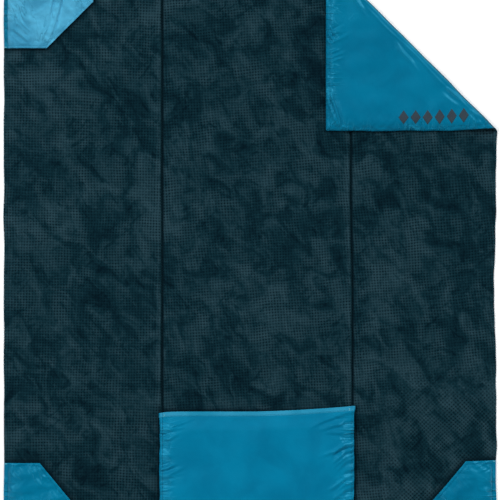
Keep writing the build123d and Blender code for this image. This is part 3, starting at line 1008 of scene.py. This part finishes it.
def pocket_folds(name, a, b):
    """The wrinkles that show on each pocket, by distance from its side edge and its end edge."""
    if name == "top_left":
        total = folds(a, b, (0.020, 0.200), (0.085, 0.262), 6, 0.010, 0.0036, 0.0026, 61)
        total += folds(a, b, (0.186, 0.070), (0.132, 0.262), 2, 0.011, 0.0036, -0.0062, 62)
        total += folds(a, b, (0.065, 0.100), (0.075, 0.225), 3, 0.022, 0.0060, 0.0020, 63)
        total += folds(a, b, (0.015, 0.150), (0.050, 0.195), 4, 0.011, 0.0036, 0.0026, 64)
        total += folds(a, b, (0.030, 0.140), (0.088, 0.222), 1, 0.011, 0.0036, -0.0050, 92)
        return total + folds(a, b, (0.110, 0.180), (0.120, 0.258), 3, 0.011, 0.0036, 0.0016, 65)
    if name == "bottom_left":
        total = folds(a, b, (0.080, 0.275), (0.125, 0.170), 5, 0.010, 0.0034, -0.0022, 66)
        return total + folds(a, b, (0.020, 0.255), (0.055, 0.215), 3, 0.012, 0.0036, -0.0018, 67)
    total = folds(a, b, (0.020, 0.262), (0.080, 0.235), 4, 0.010, 0.0036, -0.0015, 68)
    return total + folds(a, b, (0.115, 0.225), (0.075, 0.180), 3, 0.013, 0.0036, 0.0014, 69)


# Top left pocket in the lit copy of the cloth (painted light), bottom pockets in the shaded copy (painted
# shade).
POCKET_LOOKS = {
    "top_left": TAFFETA_LIT,
    "bottom_left": TAFFETA_SHADED,
    "bottom_right": TAFFETA_SHADED,
    "top_right": TAFFETA,
}


POCKET_SIM_SHARE = 0.45
POCKET_SLIP = 0.002
POCKET_MOST = 0.007


def make_corner_pocket(name, pocket):
    """Pocket cloth: simulated slack, with the larger wrinkles and the stitching's dips laid over it."""
    plan = pocket_plan(pocket)
    points = plan_points(plan)
    x, y = points[:, 0], points[:, 1]
    a, b, mouth = pocket_frame(pocket, x, y)
    sewn = np.minimum(a, b)
    along = np.maximum(a, b)
    rest = pocket_height(pocket, x, y)
    points[:, 2] = rest + 0.0006 * field(x, y, 0.03, 41) * smooth(sewn / 0.02)
    pins = np.where(sewn < 0.003, 1.0, np.where(mouth < 0.004, 0.35, 0.0))
    settled = settle(points, plan_faces(plan), pins, grow=0.04, pressure=0.10)
    free = smooth((sewn - 0.006) / 0.02)
    height = rest + POCKET_SIM_SHARE * (settled[:, 2] - rest) * free
    height += pocket_folds(name, a, b) * free * smooth(mouth / 0.006)
    height += 0.0012 * puckers(sewn, along, 0.020, 42, 0.016)
    height -= 0.0018 * stitch_dip(sewn, EDGE_STITCH, 0.003)
    height += 0.0006 * smooth((0.010 - mouth) / 0.003) - 0.0007 * stitch_dip(mouth, 0.0095, 0.002)
    floor = lining_top(x, y) + 0.0010 + POCKET_CLOTH
    height = np.clip(height, floor, rest + POCKET_MOST)
    slip = np.clip(settled[:, :2] - points[:, :2], -POCKET_SLIP, POCKET_SLIP) * free[:, None]
    upper = np.column_stack([points[:, :2] + slip, height])
    lower = upper.copy()
    lower[:, 2] -= POCKET_CLOTH * (0.4 + 0.6 * smooth(sewn / 0.01))
    sewn_place = np.column_stack([along, sewn])
    piece = cloth_between(f"pocket_{name}_cloth", plan, upper, lower, POCKET_LOOKS[name], sewn_place)
    keep(piece, pocket_body(name), "shell_cloth", "pocket_" + name)


def pocket_body(name):
    if name == "top_right":
        return "corner_flap"
    return "left_panel" if name.endswith("left") else "base"


# ---- stuff pocket


def mouth_y(x):
    """The stuff pocket's mouth, nearly level on the left and rising to the right."""
    rise = MOUTH_RISE * np.clip(x / RIGHT_SEAM, 0.0, 1.0) ** 1.6
    return MOUTH_LEFT_Y - HEM_ROUND + rise - 0.0035 * np.exp((LEFT_SEAM - x) / 0.02)


def stuff_height(x, y):
    """Upper face of the padded cover, rolled down at the mouth."""
    side = np.minimum(x - LEFT_SEAM, RIGHT_SEAM - x)
    mouth = np.maximum(mouth_y(x) - y, 0.0)
    low = lining_top(x, y) + 0.001
    full = STUFF_TOP + 0.0012 * field(x, y, 0.20, 51)
    rise = (0.45 * puff(side, 0.010, 1.6) + 0.55 * puff(side, 0.045, 2.4)) * puff(y + Y_MAX, 0.06, 2.4)
    height = low + (full - low) * rise
    roll = 1.0 - puff(mouth, 0.030, 2.6)
    edge = np.minimum(height, STUFF_BACK_HIGH + 0.0022)
    return height + (edge - height) * roll


def stuff_folds(x, y):
    """The wrinkles that show on the stuff pocket, by distance from its side seams and its mouth."""
    left = x - LEFT_SEAM
    right = RIGHT_SEAM - x
    down = mouth_y(x) - y
    total = folds(left, down, (-0.010, 0.046), (0.105, 0.024), 3, 0.010, 0.0042, 0.0036, 81)
    total += folds(left, down, (-0.010, 0.074), (0.050, 0.046), 3, 0.014, 0.0040, 0.0038, 82)
    total += folds(left, down, (-0.008, 0.122), (0.040, 0.138), 2, 0.012, 0.0040, 0.0034, 83)
    total += folds(left, down, (-0.008, 0.190), (0.080, 0.150), 4, 0.012, 0.0042, 0.0046, 84)
    total += folds(left, down, (-0.010, 0.218), (0.055, 0.202), 4, 0.012, 0.0042, 0.0042, 85)
    total += folds(right, down, (-0.012, 0.016), (0.120, 0.050), 4, 0.011, 0.0042, 0.0036, 86)
    total += folds(right, down, (-0.010, 0.072), (0.075, 0.060), 2, 0.016, 0.0040, 0.0034, 87)
    total += folds(right, down, (-0.016, 0.094), (0.110, 0.152), 2, 0.012, 0.0042, 0.0052, 88)
    total += folds(right, down, (-0.010, 0.125), (0.078, 0.198), 5, 0.014, 0.0042, 0.0044, 89)
    total += folds(right, down, (-0.010, 0.205), (0.078, 0.272), 5, 0.014, 0.0042, 0.0042, 90)
    return total


STUFF_STEP = 0.004
STUFF_ROW = 0.0096
HEM_STEP = 0.0045
HEM_CLOTH = 0.0005
HEM_LIFT = 0.0006


def make_stuff_cover():
    """Simulated padded cover; gives the points of its upper face."""
    xs = finer_ends(lines(LEFT_SEAM, RIGHT_SEAM, STUFF_STEP))
    plan = grid(xs, lines(0.0, 1.0, STUFF_ROW))
    points = plan_points(plan)
    x = points[:, 0]
    y = -Y_MAX + (mouth_y(x) + Y_MAX) * points[:, 1]
    side = np.minimum(x - LEFT_SEAM, RIGHT_SEAM - x)
    base = y + Y_MAX
    mouth = mouth_y(x) - y
    rest = stuff_height(x, y)
    start = np.column_stack([x, y, rest + 0.0008 * field(x, y, 0.035, 52)])
    pins = np.where((side < 0.002) | (base < 0.002), 1.0, np.where(mouth < 0.006, 0.6, 0.0))
    settled = settle(start, plan_faces(plan), pins, grow=0.025, pressure=0.25)
    free = smooth(side / 0.01) * smooth(base / 0.01)
    height = rest + np.clip(settled[:, 2] - rest, -0.003, 0.006) * free * smooth((mouth - 0.016) / 0.04)
    height += stuff_folds(x, y) * free
    height += 0.0006 * puckers(side, y, 0.026, 53, 0.016) * smooth((mouth - 0.016) / 0.02)
    height -= 0.0004 * stitch_dip(mouth, STUFF_STITCH, 0.003) * smooth(side / 0.02)
    height = np.maximum(height, lining_top(x, y) + 0.001 + POCKET_CLOTH)
    overhang = SIDE_BULGE * np.sin(math.pi * np.clip(side / 0.018, 0.0, 1.0)) ** 0.8
    overhang *= smooth((base - 0.01) / 0.03) * (1.0 + 0.06 * field(y, x, 0.05, 54))
    overhang += 0.0045 * np.exp(-((mouth / 0.012) ** 2)) * smooth(side / 0.002) * np.exp(-side / 0.015)
    outward = np.where(x - LEFT_SEAM < RIGHT_SEAM - x, -1.0, 1.04)
    upper = np.column_stack([x + outward * overhang, y, height])
    lower = upper.copy()
    lower[:, 2] -= POCKET_CLOTH
    sewn_place = np.column_stack([y, side])
    piece = cloth_between("stuff_pocket_cover_cloth", plan, upper, lower, TAFFETA, sewn_place)
    keep(piece, "base", "shell_cloth", "stuff_pocket_cover")
    return upper


def make_stuff_hem(cover):
    """Band of cloth folded round the pocket's mouth, as wide as the cover."""
    xs = lines(cover[:, 0].min() + HEM_LIFT, cover[:, 0].max() - HEM_LIFT, HEM_STEP)
    tree = upper_tree(["stuff_pocket_cover_cloth"])
    profile = hem_profile()
    points = []
    for x in xs:
        edge = float(mouth_y(np.array([x]))[0])
        top = height_at(tree, x, edge - 0.0005, STUFF_BACK_HIGH)
        low = STUFF_BACK_LOW - HEM_LIFT
        for kind, amount in profile:
            if kind == "over":
                points.append((x, edge - amount, height_at(tree, x, edge - amount, top) + HEM_LIFT))
            elif kind == "round":
                angle = math.pi * amount
                middle = (top + HEM_LIFT + low) / 2
                half = (top + HEM_LIFT - low) / 2
                points.append((x, edge + HEM_ROUND * math.sin(angle), middle + half * math.cos(angle)))
            else:
                points.append((x, edge - amount, low))
    rows = len(profile)
    faces = []
    for i in range(len(xs) - 1):
        for j in range(rows - 1):
            a = i * rows + j
            faces.append([a, a + rows, a + rows + 1, a + 1])
    points = np.array(points)
    inner = thickened(points, faces, -HEM_CLOTH)
    count = len(points)
    under = [[k + count for k in reversed(f)] for f in faces]
    rim = rim_faces(faces, count)
    flat = points[:, :2].copy()
    flat[:, 1] += points[:, 2] - STUFF_TOP
    both = placed(np.concatenate([points, inner]))
    sewn = np.column_stack([points[:, 0], np.full(count, 0.100)])
    # The hem's cloth is the lit copy: painted highlight.
    maps = (np.concatenate([flat, flat]), TAFFETA_HEM_LIT, np.concatenate([sewn, sewn]))
    piece = new_piece("stuff_pocket_hem_cloth", both, faces + under + rim, *maps)
    keep(piece, "base", "shell_cloth", "stuff_pocket_hem")


def hem_profile():
    over = [("over", d) for d in (STUFF_HEM, 0.0100, 0.0085, 0.0070, 0.0052, 0.0034, 0.0016)]
    round_edge = [("round", k / 8) for k in range(9)]
    return over + round_edge + [("back", d) for d in (0.004, 0.008)]


def thickened(points, faces, amount):
    """The points moved along their own normals."""
    normals = np.zeros_like(points)
    for f in faces:
        a, b, c, d = (points[k] for k in f)
        normal = np.cross(c - a, d - b)
        for k in f:
            normals[k] += normal
    normals /= np.maximum(np.linalg.norm(normals, axis=1, keepdims=True), 1e-12)
    return points + normals * amount


def rim_faces(faces, count):
    """Faces that join the open edges of a sheet to those of its copy."""
    seen = {}
    for f in faces:
        for a, b in zip(f, f[1:] + f[:1]):
            seen[(a, b)] = True
    return [[b, a, a + count, b + count] for a, b in seen if (b, a) not in seen]


def make_stuff_inside():
    low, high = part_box("stuff_pocket_back")
    lowest_mouth = MOUTH_LEFT_Y - 0.004

    def pad_top(x, y):
        return np.maximum(stuff_height(x, y) - 0.0045, STUFF_BACK_HIGH + 0.0006)

    def pad_low(x, y):
        return np.full_like(x, STUFF_BACK_HIGH + 0.0002)

    def back_top(x, y):
        return np.full_like(x, STUFF_BACK_HIGH)

    def back_low(x, y):
        return STUFF_BACK_LOW + 0.0002 + 0.0001 * field(x, y, 0.06, 61)

    plan = grid(lines(low.x, high.x, 0.02), lines(low.y, lowest_mouth - 0.008, 0.02))
    batting = cloth("stuff_pocket_batting", plan, pad_top, pad_low, BATTING)
    keep(batting, "base", "batting", "stuff_pocket_insulation")
    plan = grid(lines(low.x, high.x, 0.012), lines(low.y, lowest_mouth, 0.012))
    back = cloth("stuff_pocket_back_cloth", plan, back_top, back_low, TAFFETA)
    keep(back, "base", "shell_cloth", "stuff_pocket_back")


# ---- stitches

STITCH_PITCH = 0.0042
STITCH_LENGTH = 0.0032
STITCH_RADIUS = 0.00045
POCKET_STITCH = 0.008
TACK_TURNS = 9
TACK_PITCH = 0.00078
TACK_LENGTH = 0.0025


def upper_tree(names=None):
    """Faces of the flat pieces, for finding the cloth's height at a place."""
    points, faces = [], []
    for piece, _ in FLAT:
        if names is None or piece.name in names:
            offset = len(points)
            points += [tuple(p) for p in coordinates(piece)]
            faces += [[k + offset for k in polygon.vertices] for polygon in piece.data.polygons]
    return BVHTree.FromPolygons(points, faces)


def height_at(tree, x, y, otherwise, from_below=False):
    origin = Vector((x, y, -0.1 if from_below else 0.2))
    hit = tree.ray_cast(origin, Vector((0, 0, 1 if from_below else -1)))
    return hit[0].z if hit[0] is not None else otherwise


def resampled(path, pitch):
    """Middles and directions of equal steps along a line of points."""
    path = np.array(path, float)
    lengths = np.hypot(*np.diff(path, axis=0).T)
    total = np.concatenate([[0.0], np.cumsum(lengths)])
    count = max(1, int(total[-1] / pitch))
    at = (np.arange(count) + 0.5) * total[-1] / count
    middles = np.column_stack([np.interp(at, total, path[:, k]) for k in (0, 1)])
    ahead = np.column_stack([np.interp(at + pitch / 4, total, path[:, k]) for k in (0, 1)])
    behind = np.column_stack([np.interp(at - pitch / 4, total, path[:, k]) for k in (0, 1)])
    direction = ahead - behind
    return middles, direction / np.linalg.norm(direction, axis=1, keepdims=True)


def stitch_shape(length):
    """Points of one stitch, along, aside and up, and its faces: a thread that dives in at both ends."""
    rings = ((-0.5, 0.5, -0.7), (-0.3, 1.0, 0.5), (0.3, 1.0, 0.5), (0.5, 0.5, -0.7))
    sides = 5
    points = []
    for along, size, up in rings:
        for k in range(sides):
            angle = 2 * math.pi * k / sides
            radius = STITCH_RADIUS * size
            height = radius * math.sin(angle) + up * STITCH_RADIUS
            points.append((along * length, radius * math.cos(angle), height))
    faces = [list(range(sides))[::-1], [3 * sides + k for k in range(sides)]]
    for ring in range(3):
        for k in range(sides):
            a, b = ring * sides + k, ring * sides + (k + 1) % sides
            faces.append([a, b, b + sides, a + sides])
    return np.array(points), faces


def stitches(name, rows, carrier, nodes, tree, material=THREAD, length=STITCH_LENGTH):
    """Rows of single stitches. A row is its middles, its directions and whether it is underneath."""
    shape, shape_faces = stitch_shape(length)
    points, faces, flat = [], [], []
    for middles, directions, below in rows:
        for middle, direction in zip(middles, directions):
            aside = np.array([-direction[1], direction[0]])
            place = middle + shape[:, :1] * direction + shape[:, 1:2] * aside
            place = placed(np.column_stack([place, np.zeros(len(shape))]))
            x, y = place[:, :2].mean(axis=0)
            reach = length / 2 * direction
            ends = [height_at(tree, x + k * reach[0], y + k * reach[1], THICK, below) for k in (-0.8, 0.8)]
            slope = (ends[1] - ends[0]) / (1.6 * length / 2)
            level = (ends[0] + ends[1]) / 2
            up = -1.0 if below else 1.0
            place[:, 2] = level + slope * shape[:, 0] + up * shape[:, 2]
            offset = len(points)
            order = -1 if below else 1
            faces += [[k + offset for k in f[::order]] for f in shape_faces]
            points += [tuple(p) for p in place]
            flat += [tuple(p) for p in place[:, :2]]
    piece = new_piece(name, points, faces, np.array(flat), material)
    return keep(piece, carrier, "thread", *nodes)


def row(path, below=False):
    middles, directions = resampled(path, STITCH_PITCH)
    return middles, directions, below


def pocket_xy(pocket, a, b):
    return (pocket["side"] * (X_MAX - a), pocket["end"] * (Y_MAX - b))


def mouth_path(pocket, inset):
    """Line on a corner pocket at one distance from its open sides, between its sewn edges."""
    run = POCKET_LEG - pocket["side_cut"]
    rise = POCKET_LEG - pocket["end_cut"]
    slant = math.hypot(run, rise)
    near = pocket["side_cut"] - inset * (slant - run) / rise
    far = POCKET_LEG - (inset * slant + (run - inset) * rise) / run
    deep = POCKET_LEG - inset
    corners = [(EDGE_STITCH, deep), (near, deep), (deep, far), (deep, EDGE_STITCH)]
    return [pocket_xy(pocket, a, b) for a, b in corners]


def tack_row(x, y, turned):
    """Turns of thread lying side by side across a bar tack."""
    steps = (np.arange(TACK_TURNS) - (TACK_TURNS - 1) / 2) * TACK_PITCH
    along = np.array([0.0, 1.0]) if turned else np.array([1.0, 0.0])
    across = np.array([1.0, 0.0]) if turned else np.array([0.0, 1.0])
    middles = np.array([x, y]) + steps[:, None] * along
    return middles, np.tile(across, (TACK_TURNS, 1)), False


def on_pocket(places):
    """Which of the places lie on a pocket."""
    x, y = places[:, 0], places[:, 1]
    inside = (x > LEFT_SEAM) & (x < RIGHT_SEAM) & (y < MOUTH_LEFT_Y)
    for pocket in CORNER_POCKETS.values():
        inside |= pocket_frame(pocket, x, y)[2] > 0
    return inside


def make_edge_stitches(tree):
    """Row round the edge: dark on the plush, blue on the pockets and underneath."""
    side, end = X_MAX - EDGE_STITCH, Y_MAX - EDGE_STITCH
    left = LEFT_SEAM - 0.004
    right = LEFT_SEAM + 0.004
    around_left = [(left, -end), (-side, -end), (-side, end), (left, end)]
    around_right = [(right, -end), (side, -end), (side, end), (right, end)]
    for name, path, carrier, nodes in (
        ("edge_stitches_left", around_left, "folding", ["edge_stitching_left"]),
        ("edge_stitches_right", around_right, "across", ["edge_stitching", "corner_edge_stitching"]),
    ):
        middles, directions, _ = row(path)
        pocketed = on_pocket(middles)
        on_plush = (middles[~pocketed], directions[~pocketed], False)
        on_cloth = (middles[pocketed], directions[pocketed], False)
        stitches(name, [on_plush], carrier, nodes, tree, DARK_THREAD)
        stitches(name + "_shell", [on_cloth, row(path, below=True)], carrier, [], tree)


def make_seam_stitches(tree):
    end = Y_MAX - 0.016
    right_nodes = ["seam_stitching_right", "corner_seam_stitching_right"]
    for name, x, carrier, nodes in (
        ("seam_stitches_left", LEFT_SEAM + 0.0035, "base", ["seam_stitching_left"]),
        ("seam_stitches_right", RIGHT_SEAM, "across", right_nodes),
    ):
        stitches(name, [row([(x, -end), (x, end)])], carrier, nodes, tree, DARK_THREAD)


def bar_tacks(name, ends, body, tree):
    """Two bar tacks, each given by its place and whether it is turned."""
    nodes = ["bar_tacks_" + name.removeprefix("tacks_")]
    stitches(name, [tack_row(*end) for end in ends], body, nodes, tree, PALE_THREAD, TACK_LENGTH)


def make_pocket_stitches(tree):
    for name, pocket in CORNER_POCKETS.items():
        rows = [row(mouth_path(pocket, POCKET_STITCH))]
        body = pocket_body(name)
        stitches("pocket_stitches_" + name, rows, body, ["pocket_stitching_" + name], tree)
        near, far = 0.0055, POCKET_LEG - 0.003
        ends = [(*pocket_xy(pocket, near, far), False), (*pocket_xy(pocket, far, near), True)]
        bar_tacks("tacks_" + name, ends, body, tree)
    low, high = LEFT_SEAM + 0.008, RIGHT_SEAM - 0.008
    xs = lines(low, high, 0.01)
    hem = list(zip(xs, mouth_y(xs) - STUFF_STITCH))
    bottom = 0.012 - Y_MAX
    left, right = low - 0.005, high + 0.005
    top = MOUTH_LEFT_Y - 0.02
    around = [(left, top), (left, bottom), (right, bottom), (right, top)]
    stitches("stuff_pocket_stitches", [row(hem), row(around)], "base", ["stuff_pocket_stitching"], tree)
    ends = [(x, float(mouth_y(np.array([x]))[0]) - 0.0065, True) for x in (low, high)]
    bar_tacks("tacks_stuff_pocket", ends, "base", tree)


# ---- printed mark

MARK_COUNT = 6
MARK_CELLS = 14
MARK_SHAPE = 30 / 42
FILM = 0.00015
FILM_GAP = 0.00045


def make_mark(tree):
    """Row of plain lozenges printed on the shell of the folded corner."""
    low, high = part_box("printed_mark")
    height = high.y - low.y
    width = height * MARK_SHAPE
    pitch = (high.x - low.x - width) / (MARK_COUNT - 1)
    steps = np.linspace(-1, 1, MARK_CELLS + 1)
    points, faces = [], []
    for n in range(MARK_COUNT):
        centre = (low.x + width / 2 + pitch * n, (low.y + high.y) / 2)
        offset = len(points)
        for s in steps:
            for t in steps:
                seen_x = centre[0] + (s + t) / 2 * width / 2
                seen_y = centre[1] + (s - t) / 2 * height / 2
                points.append((CREASE_SUM - seen_y, CREASE_SUM - seen_x, 0.0))
        side = MARK_CELLS + 1
        for i in range(MARK_CELLS):
            for j in range(MARK_CELLS):
                a = offset + i * side + j
                faces.append([a, a + 1, a + side + 1, a + side])
    points = placed(np.array(points))
    for point in points:
        point[2] = height_at(tree, point[0], point[1], 0.0, True)
    both = np.concatenate([points - (0.0, 0.0, gap) for gap in (FILM_GAP, FILM_GAP + FILM)])
    count = len(points)
    under = [[k + count for k in reversed(f)] for f in faces]
    piece = new_piece("mark_print", both, faces + under + rim_faces(faces, count), both[:, :2], PRINT)
    keep(piece, "corner_flap", "print", "printed_mark")


# ---- floor, light and camera

VIEW_CENTRE = (0.00075, 0.0168)
VIEW_WIDTH = 1.4985
CAMERA_HEIGHT = 15.0
FLOOR_HALF = 30.0
FLOOR_DROP = 0.0005


def make_stage():
    material, tree, shader = new_material("pale_floor")
    place = tree.nodes.new("ShaderNodeTexCoord").outputs["Object"]
    grain = noise(tree, place, 60.0, 3.0)
    tone = mix_colour(tree, grain, (0.92, 0.92, 0.92, 1.0), (0.94, 0.94, 0.94, 1.0))
    tree.links.new(tone, shader.inputs["Base Color"])
    set_sockets(shader, {"Roughness": 0.9, "Specular IOR Level": 0.1})
    set_sockets(shader, {"Emission Color": (1.0, 1.0, 1.0, 1.0), "Emission Strength": 0.22})
    mesh = bpy.data.meshes.new("floor")
    half = FLOOR_HALF
    corners = [(-half, -half, 0), (half, -half, 0), (half, half, 0), (-half, half, 0)]
    mesh.from_pydata(corners, [], [(0, 1, 2, 3)])
    mesh.materials.append(material)
    floor = bpy.data.objects.new("floor", mesh)
    floor.location.z = -FLOOR_DROP
    bpy.context.scene.collection.objects.link(floor)


def area_light(name, location, size, power):
    """Square lamp that faces the middle of the blanket."""
    light = bpy.data.lights.new(name, "AREA")
    light.shape = "SQUARE"
    light.size = size
    light.energy = power
    made = bpy.data.objects.new(name, light)
    made.location = location
    made.rotation_euler = (-Vector(location)).to_track_quat("-Z", "Y").to_euler()
    bpy.context.scene.collection.objects.link(made)


def make_light():
    """Soft boxes from the upper right and the left, a gloss for the top left pocket, and a dim top."""
    world = bpy.data.worlds.new("studio")
    bpy.context.scene.world = world
    world.use_nodes = True
    tree = world.node_tree
    background = tree.nodes["Background"]
    height = axes(tree, tree.nodes.new("ShaderNodeTexCoord").outputs["Generated"])[2]
    tree.links.new(remap(tree, height, 0.0, 0.9, 0.60, 0.05), background.inputs["Strength"])
    background.inputs["Color"].default_value = (1.0, 1.0, 1.0, 1.0)
    area_light("key", (9.0, 9.4, 12.2), 4.6, 1900.0)
    area_light("side", (-8.5, 4.5, 11.0), 4.0, 880.0)
    area_light("gloss", (-2.5, 2.8, 9.0), 2.2, 70.0)
    area_light("fill", (-4.5, -4.5, 6.0), 3.0, 130.0)


def make_camera():
    data = bpy.data.cameras.new("camera")
    data.sensor_width = 36.0
    data.lens = data.sensor_width * CAMERA_HEIGHT / VIEW_WIDTH
    data.clip_end = 100.0
    camera = bpy.data.objects.new("camera", data)
    camera.location = (VIEW_CENTRE[0], VIEW_CENTRE[1], CAMERA_HEIGHT)
    bpy.context.scene.collection.objects.link(camera)
    bpy.context.scene.camera = camera
    bpy.context.scene.view_settings.view_transform = "Standard"


make_stage()
make_light()
make_camera()
make_panel("left", -X_MAX, LEFT_SEAM)
make_panel("centre", LEFT_SEAM, RIGHT_SEAM)
make_panel("right", RIGHT_SEAM, X_MAX)
make_shell_left()
make_shell()
for pocket_name, pocket_shape in CORNER_POCKETS.items():
    make_corner_pocket(pocket_name, pocket_shape)
make_stuff_hem(make_stuff_cover())
make_stuff_inside()
cloth_tree = upper_tree()
make_edge_stitches(cloth_tree)
make_seam_stitches(cloth_tree)
make_pocket_stitches(cloth_tree)
make_mark(cloth_tree)
carry_all()
